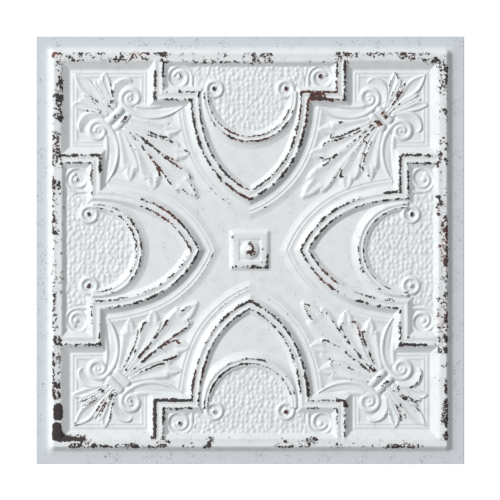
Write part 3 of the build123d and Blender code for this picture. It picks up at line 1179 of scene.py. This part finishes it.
@dataclass(frozen=True)
class Scuffs:
    """The places in the photograph where the paint has worn through.

    A red place is its pixels from the left and the top, its reach in millimetres, and how red.
    """

    photo: Photo = Photo()
    frame: Stretches = Stretches(6.2, (
        # Left side, from the top
        (60, 65, 60, 80, 0.7), (60.5, 80, 60.5, 119, 1.1), (57, 90, 57, 118, 0.45),
        (58, 120, 58, 135, 0.4), (56, 135, 56, 163, 1), (60, 165, 60, 181, 0.4), (57, 177, 57, 192, 1),
        (54.5, 191, 54.5, 212, 0.6), (55, 214, 55, 232, 0.9), (54.5, 236, 54.5, 282, 0.5),
        (62, 210, 62, 250, 0.4), (62, 275, 62, 290, 0.6), (56, 291, 55, 328, 0.7),
        (58, 339, 60, 348, 1.1), (57, 350, 57, 382, 0.9), (57, 385, 57, 396, 1.2),
        (59, 408, 59, 416.5, 2.7), (57.5, 427.5, 57.5, 437, 2.7),
        # Bottom side, from the left
        (61, 437.5, 83, 437, 1.9), (78, 442, 88, 440, 0.6), (72, 447, 94, 448, 1),
        (98, 448.5, 160, 448.5, 0.9), (120, 448, 138, 448, 1), (160, 446, 167, 443, 1),
        (185, 447, 195, 447, 0.5), (207, 446, 211, 440, 1), (283, 446, 291, 446, 0.9),
        (303, 445, 313, 441, 0.9), (330, 446, 385, 447, 0.3), (388, 448, 411, 448, 1.1),
        (415, 446, 420, 446, 0.6),
        # Right side, from the bottom
        (447, 436, 447, 437, 1.1), (447, 402, 446, 424, 1.1), (448, 384, 448, 396, 0.9),
        (445, 360, 445, 385, 0.3), (439, 350, 446, 350, 1), (438, 341, 446, 340, 1.1),
        (445, 304, 445, 330, 0.85), (439, 298, 439, 330, 0.7), (446, 280, 446, 300, 0.6),
        (445, 262, 445, 280, 0.9), (445, 223, 445, 262, 1.1), (445, 212, 446, 221, 0.6),
        (440, 200, 441, 212, 1), (443, 168, 443, 200, 0.4), (439, 164, 446, 163, 1),
        (439, 153, 440, 158, 0.9), (444, 141, 447, 149, 0.9), (443, 120, 443, 140, 0.3),
        (444, 113, 448, 119, 0.7), (440, 90, 447, 97, 0.6), (443, 78, 446, 89, 0.9),
        (443, 66, 447, 75, 1.1), (437, 61, 441, 62, 1),
        # Top side, from the left
        (55, 55, 59, 53, 0.9), (62, 60, 77, 60, 0.7), (74, 57, 95, 56, 0.75), (98, 54, 106, 57, 0.7),
        (106, 60, 126, 60, 0.8), (124, 55, 131, 57, 0.7), (131, 55, 148, 57, 0.85),
        (158, 54, 167, 59, 0.95), (172, 58, 200, 60, 0.4), (196, 62, 270, 62, 0.8),
        (222, 57, 227, 60, 0.7), (248, 57, 254, 57, 0.9), (262, 61, 269, 56, 0.9),
        (272, 58, 335, 58, 0.25), (338, 53, 352, 53, 0.8), (356, 54, 378, 54, 0.7),
        (385, 54, 394, 54, 0.7), (402, 55, 427, 57, 0.8), (428, 61, 434, 65, 0.9),
    ))
    steps: Stretches = Stretches(5.4, (
        # Top left corner
        (62, 157, 82, 156, 1.2), (82, 157, 98, 156, 0.95), (96, 156, 101, 154, 1.3),
        (100, 157, 100, 170, 1.3), (62, 162, 92, 163, 0.75), (93, 164, 93, 182, 0.9),
        (93, 184, 93, 198, 0.5), (155, 74, 155, 101, 1.2), (164, 53, 164, 70, 1.25),
        (164, 70, 164, 92, 0.9), (163, 98, 171, 97, 1.15), (173, 102, 177, 101, 0.7),
        (182, 93, 201, 93, 1), (188, 99, 197, 100, 1.1),
        # Top right corner
        (339, 60, 339, 93, 1.1), (347, 65, 347, 102, 1.25), (304, 94, 336, 93, 1.4),
        (313, 97, 324, 97, 2.6), (324, 97, 331, 99, 1.4), (333, 100, 337, 101, 1.1),
        (346, 100, 350, 101, 1.1), (404, 157, 419, 156, 1.3), (421, 157, 430, 157, 0.9),
        (430, 158, 439, 158, 0.3), (409, 165, 443, 164, 0.95), (402, 158, 402, 195, 1.25),
        (409, 165, 409, 200, 0.9), (388, 195, 402, 192, 1.2),
        # Bottom right corner
        (400, 306, 400, 330, 0.5), (401, 331, 401, 343, 1.1), (402, 346, 424, 347, 1.5),
        (409, 300, 409, 306, 0.7), (410, 338, 414, 338, 0.7), (436, 339, 445, 338, 0.8),
        (308, 402, 336, 402, 0.8), (340, 402, 347, 405, 1.9), (345, 408, 345, 433, 0.85),
        (311, 408, 317, 408, 0.8), (337, 409, 337, 432, 0.7),
        # Bottom left corner
        (156, 402, 193, 402, 1.6), (154, 402, 154, 436, 1.9), (163, 409, 199, 408, 0.9),
        (164, 409, 164, 438, 1), (193, 385, 193, 403, 1.1), (199, 385, 199, 408, 0.9),
        (68, 346, 74, 346, 0.7), (78, 346, 88, 346, 1.15), (93, 346, 100, 346, 1.2),
        (99, 336, 100, 343, 0.9), (93, 302, 93, 320, 0.7),
    ))
    arches: Stretches = Stretches(5.6, (
        # Left arch
        (144, 201, 160, 206, 1.2), (160, 206, 178, 220, 1.3), (178, 220, 197, 250, 1.1),
        (144, 206, 175, 222, 1), (175, 222, 194, 250, 1.05), (198, 254, 194, 261, 1.3),
        (191, 265, 183, 276, 0.9), (182, 278, 173, 287, 1), (163, 293, 156, 297, 1),
        (150, 299, 132, 304, 1.05), (122, 306, 114, 309, 1.1), (110, 307, 102, 306, 0.5),
        (190, 256, 183, 270, 0.5), (178, 271, 170, 280, 0.8), (161, 287, 141, 297, 0.65),
        (126, 300, 98, 303, 0.95),
        # Top arch
        (193, 104, 193, 118, 1), (194, 120, 204, 150, 1.25), (204, 150, 226, 184, 1.2),
        (228, 186, 253, 202, 1.4), (200, 94, 202, 125, 1.15), (202, 125, 218, 166, 1.1),
        (218, 166, 246, 190, 1.1), (245, 191, 254, 191, 0.9), (310, 104, 308, 120, 1.3),
        (307, 120, 303, 142, 1.1), (303, 142, 290, 165, 1.15), (290, 165, 279, 180, 1.1),
        (273, 185, 271, 187, 1), (265, 192, 262, 194, 1), (303, 100, 302, 124, 0.9),
        (302, 124, 290, 158, 1.05), (290, 158, 256, 191, 1),
        # Right arch
        (374, 198, 360, 199, 0.5), (359, 200, 345, 206, 1), (340, 209, 325, 220, 1.2),
        (325, 220, 303, 250, 1.25), (400, 199, 374, 202, 0.85), (374, 202, 352, 208, 0.65),
        (340, 216, 333, 221, 1), (330, 224, 324, 233, 1), (320, 238, 310, 250, 1.1),
        (302, 250, 318, 273, 1.1), (318, 274, 336, 291, 1.3), (354, 294, 393, 303, 0.8),
        (310, 252, 335, 283, 0.95), (359, 303, 366, 304, 1), (381, 308, 388, 309, 0.9),
        (396, 308, 401, 311, 1),
        # Bottom arch
        (252, 301, 238, 309, 1.4), (238, 309, 222, 322, 1.25), (222, 322, 194, 382, 1.05),
        (250, 310, 226, 325, 1), (226, 325, 210, 350, 0.85), (210, 350, 200, 380, 1),
        (253, 303, 257, 306, 1.1), (262, 308, 278, 320, 1.05), (282, 326, 292, 338, 1),
        (293, 341, 303, 362, 1), (303, 362, 309, 394, 1.4), (260, 315, 275, 326, 1.05),
        (282, 333, 290, 345, 1.05), (292, 348, 303, 391, 0.95),
        # Thin outer lines of the points
        (210, 190, 226, 202, 1), (253, 213, 262, 208, 0.8), (215, 256, 197, 285, 1),
        (254, 286, 222, 308, 0.75),
    ))
    crescents: Stretches = Stretches(5.6, (
        # Top
        (208, 97, 221, 124, 1), (222, 126, 246, 139, 1.35), (246, 139, 262, 138, 1.4),
        (262, 138, 290, 112, 1.2), (213, 118, 222, 131, 0.5), (222, 132, 250, 144, 0.95),
        (250, 144, 279, 133, 1), (283, 129, 287, 125, 0.9),
        # Left
        (130, 220, 142, 245, 1.05), (115, 212, 131, 228, 1.2), (131, 228, 139, 252, 1.1),
        (139, 252, 133, 271, 1.1), (143, 250, 132, 279, 1.05), (112, 289, 98, 293, 1),
        (97, 208, 103, 209, 0.9),
        # Right
        (364, 250, 364, 262, 1.15), (364, 262, 375, 280, 0.9), (359, 240, 362, 270, 0.8),
        (404, 208, 376, 222, 1), (376, 222, 364, 250, 1), (383, 287, 405, 294, 0.75),
        # Bottom
        (253, 364, 232, 367, 1), (232, 367, 214, 386, 1.3), (214, 386, 207, 406, 1.1),
        (253, 363, 258, 363, 1), (263, 361, 279, 376, 0.9), (284, 380, 291, 392, 1.1),
        (245, 359, 258, 359, 0.7),
    ))
    knobs: Stretches = Stretches(3.5, (
        # Small volutes of the crescents
        (215, 89, 215, 88, 1.3), (287, 89, 287, 88, 1.4), (89, 215, 90, 216, 1.2),
        (83, 218, 92, 221, 0.8), (89, 286, 89, 287, 1.4), (413, 215, 413, 216, 1.3),
        (411, 286, 414, 287, 0.9), (215, 413, 216, 412, 1), (286, 413, 286, 414, 1.4),
        # Large volutes
        (181, 75, 184, 79, 0.9), (194, 80, 196, 87, 0.9), (321, 77, 321, 76, 1.4),
        (311, 75, 318, 69, 0.8), (76, 180, 77, 181, 1), (69, 187, 78, 192, 0.8), (71, 311, 88, 308, 0.8),
        (419, 183, 427, 182, 0.9), (420, 194, 433, 187, 1.1), (180, 423, 181, 426, 1.2),
        (183, 418, 178, 433, 0.5), (193, 410, 193, 419, 0.7),
        # Corner scrolls and collars
        (364, 93, 365, 104, 0.7), (132, 402, 132, 404, 1.1), (114, 117, 118, 116, 0.6),
        (124, 121, 126, 119, 1.1), (384, 114, 386, 117, 1), (377, 121, 381, 125, 1),
        (372, 129, 373, 127, 0.8), (378, 380, 381, 377, 0.6), (384, 386, 387, 383, 1.1),
        # Boss in the middle
        (251, 243, 256, 248, 1), (255, 250, 253, 255, 1.3), (248, 254, 253, 253, 1.3),
        (234, 239, 236, 237, 0.7), (234, 268, 236, 268, 0.9), (242, 267, 268, 268, 1),
        (268, 266, 269, 257, 1),
    ))
    leaves: Stretches = Stretches(4.6, (
        # Top left corner
        (141, 138, 159, 152, 1), (165, 157, 180, 168, 1.2), (170, 157, 171, 157, 1),
        (178, 165, 182, 160, 0.6), (151, 156, 160, 174, 1.1), (162, 168, 170, 183, 1.15),
        (150, 133, 165, 137, 1.1), (133, 135, 137, 139, 0.9), (139, 142, 152, 157, 0.7),
        (131, 148, 133, 151, 0.8), (188, 151, 190, 153, 0.8), (169, 141, 171, 142, 0.8),
        (190, 178, 190, 179, 0.8), (184, 192, 196, 197, 0.8), (192, 184, 196, 194, 0.7),
        # Top right corner
        (333, 137, 338, 136, 1), (341, 137, 358, 130, 1.1), (327, 146, 335, 141, 1),
        (342, 113, 354, 113, 1), (341, 120, 342, 121, 1), (332, 117, 336, 112, 0.7),
        (362, 138, 367, 134, 0.9), (360, 140, 338, 155, 0.65), (365, 143, 352, 160, 0.8),
        (372, 143, 363, 168, 0.9), (341, 176, 348, 170, 1.2), (322, 162, 336, 155, 0.8),
        (320, 169, 329, 162, 0.75), (333, 183, 336, 178, 0.7), (359, 76, 379, 76, 0.6),
        (359, 76, 359, 81, 1), (363, 69, 367, 75, 0.6),
        # Bottom left corner
        (141, 331, 145, 323, 1.1), (133, 347, 137, 334, 0.9), (127, 360, 134, 349, 0.8),
        (142, 357, 153, 346, 1), (157, 338, 169, 321, 1.1), (143, 362, 159, 350, 1.1),
        (159, 350, 186, 331, 1.05), (164, 349, 179, 341, 1.1), (166, 361, 174, 357, 0.9),
        (149, 370, 163, 365, 1.1), (126, 367, 141, 371, 0.8), (183, 310, 191, 309, 0.8),
        (188, 323, 191, 324, 0.8),
        # Bottom right corner
        (307, 306, 311, 319, 0.9), (323, 311, 326, 316, 0.9), (334, 322, 341, 332, 0.95),
        (342, 325, 347, 336, 1.05), (355, 322, 361, 334, 1.2), (364, 334, 366, 344, 1.2),
        (366, 344, 376, 362, 0.9), (325, 342, 337, 350, 1), (345, 353, 353, 359, 0.8),
        (341, 336, 357, 352, 0.7), (360, 359, 366, 368, 0.9), (367, 367, 373, 370, 1.6),
        (327, 358, 335, 366, 0.9), (342, 367, 355, 372, 0.8), (410, 391, 421, 383, 0.8),
        (418, 374, 420, 378, 0.8),
    ))
    sprays: Stretches = Stretches(3.0, (
        # Top left corner
        (92, 98, 97, 104, 0.9), (88, 109, 101, 112, 0.9), (108, 107, 114, 112, 0.9),
        (111, 86, 113, 103, 0.9), (115, 85, 115, 92, 0.8), (116, 102, 117, 103, 1),
        # Top right corner
        (391, 82, 392, 100, 1), (397, 73, 399, 77, 1), (393, 109, 404, 85, 1.2), (399, 104, 408, 88, 0.9),
        # Bottom left corner
        (89, 391, 98, 391, 0.8), (99, 390, 103, 392, 1.1), (82, 404, 96, 397, 0.85),
        (84, 409, 97, 398, 0.8), (96, 413, 105, 400, 0.8), (99, 418, 106, 404, 0.8),
        (111, 399, 114, 393, 1), (111, 399, 111, 417, 0.9), (114, 405, 116, 398, 0.8),
        (76, 425, 79, 425, 0.8),
        # Bottom right corner
        (399, 387, 402, 396, 0.8), (405, 398, 419, 403, 0.95), (404, 403, 419, 411, 0.9),
        (399, 408, 402, 421, 1), (402, 406, 406, 414, 0.9), (427, 397, 428, 398, 0.9),
        (391, 404, 392, 416, 0.8),
    ))
    flange: Stretches = Stretches(4.0, (
        (44, 46, 44, 62, 0.25), (255, 42, 262, 41, 0.75), (271, 39, 276, 39, 0.9),
        (300, 39, 311, 40, 0.75), (345, 43, 356, 42, 0.35),
    ))
    red: tuple[tuple[float, float, float, float], ...] = (
        (57, 54, 7, 2), (141, 56, 14, 0.6), (442, 242, 34, 0.7), (442, 318, 22, 0.6), (320, 95, 28, 0.9),
        (169, 213, 20, 1), (241, 194, 22, 0.8), (309, 112, 14, 0.9), (327, 282, 18, 0.9),
        (205, 357, 40, 0.5), (246, 135, 30, 0.7), (287, 89, 10, 0.6), (321, 77, 11, 0.9),
        (382, 120, 14, 1), (251, 250, 10, 0.5), (89, 286, 6, 0.6), (286, 413, 6, 0.5),
        (176, 164, 16, 0.6), (156, 165, 18, 0.8), (397, 100, 14, 0.5), (173, 340, 24, 0.7),
        (100, 406, 12, 0.7), (400, 414, 10, 0.7), (358, 328, 12, 0.7), (144, 356, 12, 0.3),
    )
    solid: float = 0.6
    blur: float = 1.5
    red_blur: float = 1.3
    unscuffed: float = 0.22
    raised: float = 0.52
    deep: float = 0.6
    deep_from: float = 1.7
    all_over: float = 0.06

    def on(self, x: np.ndarray, y: np.ndarray) -> tuple[np.ndarray, np.ndarray]:
        """Wear and rust that the stretches add.

        Args:
            x: Places on the tile, left to right.
            y: Places on the tile, bottom to top.

        Returns:
            Wear and rust at each place.
        """
        wear, rust = np.zeros(x.shape), np.zeros(x.shape)
        for group in (self.frame, self.steps, self.arches, self.crescents, self.knobs, self.leaves,
                      self.sprays, self.flange):
            reach, far = group.reach, group.reach * self.blur
            for right0, down0, right1, down1, amount in group.rows:
                x0, y0 = self.photo.place(right0, down0)
                x1, y1 = self.photo.place(right1, down1)
                near = (x > min(x0, x1) - far) & (x < max(x0, x1) + far)
                near &= (y > min(y0, y1) - far) & (y < max(y0, y1) + far)
                if not near.any():
                    continue
                away = self.away(x[near], y[near], (x0, y0, x1, y1))
                wear[near] = np.maximum(wear[near], amount * ease(away, far, reach * self.solid))
        for right, down, reach, amount in self.red:
            x0, y0 = self.photo.place(right, down)
            away = np.hypot(x - x0, y - y0)
            rust = np.maximum(rust, amount * ease(away, reach * self.red_blur, reach * self.solid))
        return wear, rust

    @staticmethod
    def away(x: np.ndarray, y: np.ndarray, ends: tuple[float, float, float, float]) -> np.ndarray:
        """Measures from a straight stretch.

        Args:
            x: Places on the tile, left to right.
            y: Places on the tile, bottom to top.
            ends: x and y of the stretch's start and of its end.

        Returns:
            Distance of each place.
        """
        dx, dy = ends[2] - ends[0], ends[3] - ends[1]
        share = np.clip(((x - ends[0]) * dx + (y - ends[1]) * dy) / max(dx * dx + dy * dy, TINY), 0.0, 1.0)
        return np.hypot(x - ends[0] - share * dx, y - ends[1] - share * dy)

    def combined(self, wear: np.ndarray, scuffed: np.ndarray) -> np.ndarray:
        """Lets raised edges wear most in a scuff, and a deep scuff take the paint beside them too.

        Args:
            wear: How exposed the pattern is at each place.
            scuffed: Wear that the stretches add.

        Returns:
            How worn the paint is.
        """
        edges = wear * (self.unscuffed + self.raised * scuffed)
        return edges + self.deep * np.maximum(scuffed - self.deep_from, 0.0) + self.all_over * scuffed


@dataclass(frozen=True)
class Sheet:
    """The formed sheet, made as nine equal squares that meet without a gap."""

    pattern: Pattern = Pattern()
    finish: WornPaint = WornPaint()
    scuffs: Scuffs = Scuffs()
    columns: tuple[str, ...] = ("left", "middle", "right")
    rows: tuple[str, ...] = ("bottom", "centre", "top")
    side: float = 603.0
    wall: float = 0.6
    cells: int = 220
    back_cells: int = 44
    margin: int = 9
    back_reach: int = 4
    flange_edge: Span = (281.0, 290.0)
    lift: float = 0.01

    def square(self, name: str, right: int, up: int, material: bpy.types.Material) -> bpy.types.Object:
        """Makes one of the nine squares.

        Args:
            name: Name of the piece.
            right: Squares to the right of the middle one.
            up: Squares above the middle one.
            material: Finish of the sheet.

        Returns:
            The square as a closed piece.
        """
        size = self.side / 3.0
        half = size / 2.0 * MM
        centre = Vector((right * size * MM, up * size * MM, 0.0))
        raised = Matrix.Translation(centre + Vector((0, 0, self.lift)))
        form = bmesh.new()
        bmesh.ops.create_grid(form, x_segments=self.cells, y_segments=self.cells, size=half, matrix=raised)
        rear = bmesh.ops.create_grid(form, x_segments=self.back_cells, y_segments=self.back_cells, size=half,
                                     matrix=Matrix.Translation(centre))
        underside = list({f for v in rear["verts"] for f in v.link_faces})
        bmesh.ops.reverse_faces(form, faces=underside)
        edges = [e for e in form.edges if e.is_boundary]
        walls = bmesh.ops.bridge_loops(form, edges=edges)["faces"]
        for f in form.faces:
            f.smooth = True
        for f in walls:
            f.smooth = False
            for e in f.edges:
                e.smooth = e.smooth and not any(g not in walls for g in e.link_faces)
        mesh = bpy.data.meshes.new(name)
        form.to_mesh(mesh)
        form.free()
        self.shape(mesh)
        mesh.materials.append(material)
        piece = bpy.data.objects.new(name, mesh)
        bpy.context.scene.collection.objects.link(piece)
        return piece

    def shape(self, mesh: bpy.types.Mesh) -> None:
        """Moves a flat square's points to the pattern's heights and keeps the wear with them.

        Args:
            mesh: The flat square, its face lifted above its back.
        """
        spots = np.empty(len(mesh.vertices) * 3)
        mesh.vertices.foreach_get("co", spots)
        spots = spots.reshape(-1, 3)
        x, y, upper = spots[:, 0] / MM, spots[:, 1] / MM, spots[:, 2] > self.lift / 2.0
        pitch = self.side / 3.0 / self.cells
        left, bottom = x.min() - self.margin * pitch, y.min() - self.margin * pitch
        size = self.cells + 1 + 2 * self.margin
        gx, gy = np.meshgrid(left + pitch * np.arange(size), bottom + pitch * np.arange(size), indexing="ij")
        # Past the sheet's edge the flange goes on flat
        edge = self.side / 2.0
        pressed = self.pattern.pressed(np.clip(gx, -edge, edge).ravel(), np.clip(gy, -edge, edge).ravel())
        top, exposed = pressed.height.reshape(size, size), pressed.wear.reshape(size, size)
        low = self.lowest(top, self.back_reach)
        i = np.rint((x - left) / pitch).astype(int)
        j = np.rint((y - bottom) / pitch).astype(int)
        spots[:, 2] = np.where(upper, top[i, j], np.maximum(low[i, j] - self.wall, 0.0)) * MM
        mesh.vertices.foreach_set("co", spots.ravel())
        mesh.update()
        scuffed, rust = self.scuffs.on(gx, gy)
        wear = self.scuffs.combined(exposed, scuffed)
        flange = ease(np.maximum(np.abs(gx), np.abs(gy)), *self.flange_edge)
        for name, values in (("wear", wear), ("flange", flange), ("rust", rust)):
            layer = mesh.attributes.new(name, "FLOAT", "POINT")
            layer.data.foreach_set("value", np.where(upper, values[i, j], 0.0))
        slope_x, slope_y = np.gradient(top, pitch)
        normal = np.stack((-slope_x, -slope_y, np.ones_like(top)), axis=-1)
        normal /= np.linalg.norm(normal, axis=-1, keepdims=True)
        self.smooth_face(mesh, normal[i, j], upper)

    @staticmethod
    def lowest(top: np.ndarray, reach: int) -> np.ndarray:
        """Finds the lowest height near each point, so the back stays clear of the face.

        Args:
            top: Heights of the face on a grid.
            reach: Cells to look at on each side.

        Returns:
            Lowest height within that reach.
        """
        low = top.copy()
        for axis in (0, 1):
            kept = low.copy()
            for shift in range(-reach, reach + 1):
                kept = np.minimum(kept, np.roll(low, shift, axis=axis))
            low = kept
        return low

    @staticmethod
    def smooth_face(mesh: bpy.types.Mesh, normal: np.ndarray, upper: np.ndarray) -> None:
        """Gives the face the pattern's own normals, so no joint shows between the squares.

        Args:
            mesh: The shaped square.
            normal: Normal of the pattern at each of its points.
            upper: Which points are on the face.
        """
        loops = np.empty(len(mesh.loops), dtype=int)
        mesh.loops.foreach_get("vertex_index", loops)
        kept = np.empty(len(mesh.loops) * 3)
        mesh.corner_normals.foreach_get("vector", kept)
        kept = kept.reshape(-1, 3)
        totals = np.empty(len(mesh.polygons), dtype=int)
        mesh.polygons.foreach_get("loop_total", totals)
        owner = np.repeat(np.arange(len(totals)), totals)
        whole = np.bincount(owner, weights=upper[loops], minlength=len(totals)) == totals
        face = whole[owner]
        kept[face] = normal[loops[face]]
        mesh.normals_split_custom_set(kept.tolist())

    def build(self) -> list[bpy.types.Object]:
        """Makes the nine squares, which stand for the tile.

        Returns:
            The finished pieces.
        """
        material = self.finish.material()
        pieces = []
        for column, across in enumerate(self.columns):
            for row, up in enumerate(self.rows):
                piece = self.square(f"sheet_{across}_{up}", column - 1, row - 1, material)
                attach(piece, "root")
                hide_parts("tile")
                pieces.append(piece)
        return pieces


# Floor, light and camera


@dataclass(frozen=True)
class Studio:
    """Pale floor, soft light from the upper left and a camera straight above. Sizes are metres."""

    floor_size: float = 6.0
    floor_gap: float = 0.0003
    floor_colour: Colour = (0.98, 0.98, 0.98)
    floor_roughness: float = 0.9
    distance: float = 8.0
    view_width: float = 0.7061
    film_width: float = 36.0
    view_end: float = 50.0
    key_power: float = 2900.0
    key_place: tuple[float, float, float] = (-10.4, 5.8, 10.8)
    key_size: float = 4.4
    sky: float = 0.335
    sky_colour: Colour = (0.97, 0.985, 1.0)

    def floor(self) -> None:
        """Lays the floor just under the tile."""
        form = bmesh.new()
        bmesh.ops.create_grid(form, x_segments=1, y_segments=1, size=self.floor_size / 2.0,
                              matrix=Matrix.Translation((0.0, 0.0, -self.floor_gap)))
        mesh = bpy.data.meshes.new("floor")
        form.to_mesh(mesh)
        form.free()
        floor = bpy.data.objects.new("floor", mesh)
        bpy.context.scene.collection.objects.link(floor)
        pale = bpy.data.materials.new("pale_floor")
        pale.use_nodes = True
        shader = pale.node_tree.nodes["Principled BSDF"]
        shader.inputs["Base Color"].default_value = (*self.floor_colour, 1.0)
        shader.inputs["Roughness"].default_value = self.floor_roughness
        shader.inputs["Specular IOR Level"].default_value = 0.0
        mesh.materials.append(pale)

    def light(self) -> None:
        """Hangs the key light and sets an even sky."""
        lamp = bpy.data.lights.new("key", "AREA")
        lamp.energy = self.key_power
        lamp.size = self.key_size
        key = bpy.data.objects.new("key", lamp)
        key.location = self.key_place
        key.rotation_euler = (-Vector(self.key_place)).to_track_quat("-Z", "Y").to_euler()
        bpy.context.scene.collection.objects.link(key)
        world = bpy.data.worlds.new("studio")
        world.use_nodes = True
        background = world.node_tree.nodes["Background"]
        background.inputs["Color"].default_value = (*self.sky_colour, 1.0)
        background.inputs["Strength"].default_value = self.sky
        bpy.context.scene.world = world

    def camera(self) -> None:
        """Sets the camera over the tile's middle, looking straight down."""
        lens = bpy.data.cameras.new("camera")
        lens.sensor_width = self.film_width
        lens.lens = self.film_width * self.distance / self.view_width
        lens.clip_end = self.view_end
        camera = bpy.data.objects.new("camera", lens)
        camera.location = (0.0, 0.0, self.distance)
        bpy.context.scene.collection.objects.link(camera)
        bpy.context.scene.camera = camera
        bpy.context.scene.view_settings.view_transform = "Standard"

    def build(self) -> None:
        """Sets the floor, the light and the camera."""
        self.floor()
        self.light()
        self.camera()


def main() -> None:
    """Builds the tile and the studio round it, and logs each piece's face count."""
    logging.basicConfig(level=logging.INFO, format="%(message)s")
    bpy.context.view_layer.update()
    for piece in Sheet().build():
        LOG.info("made %s with %d faces", piece.name, len(piece.data.polygons))
    Studio().build()
    LOG.info("set the floor, the light and the camera")


if __name__ == "__main__":
    main()
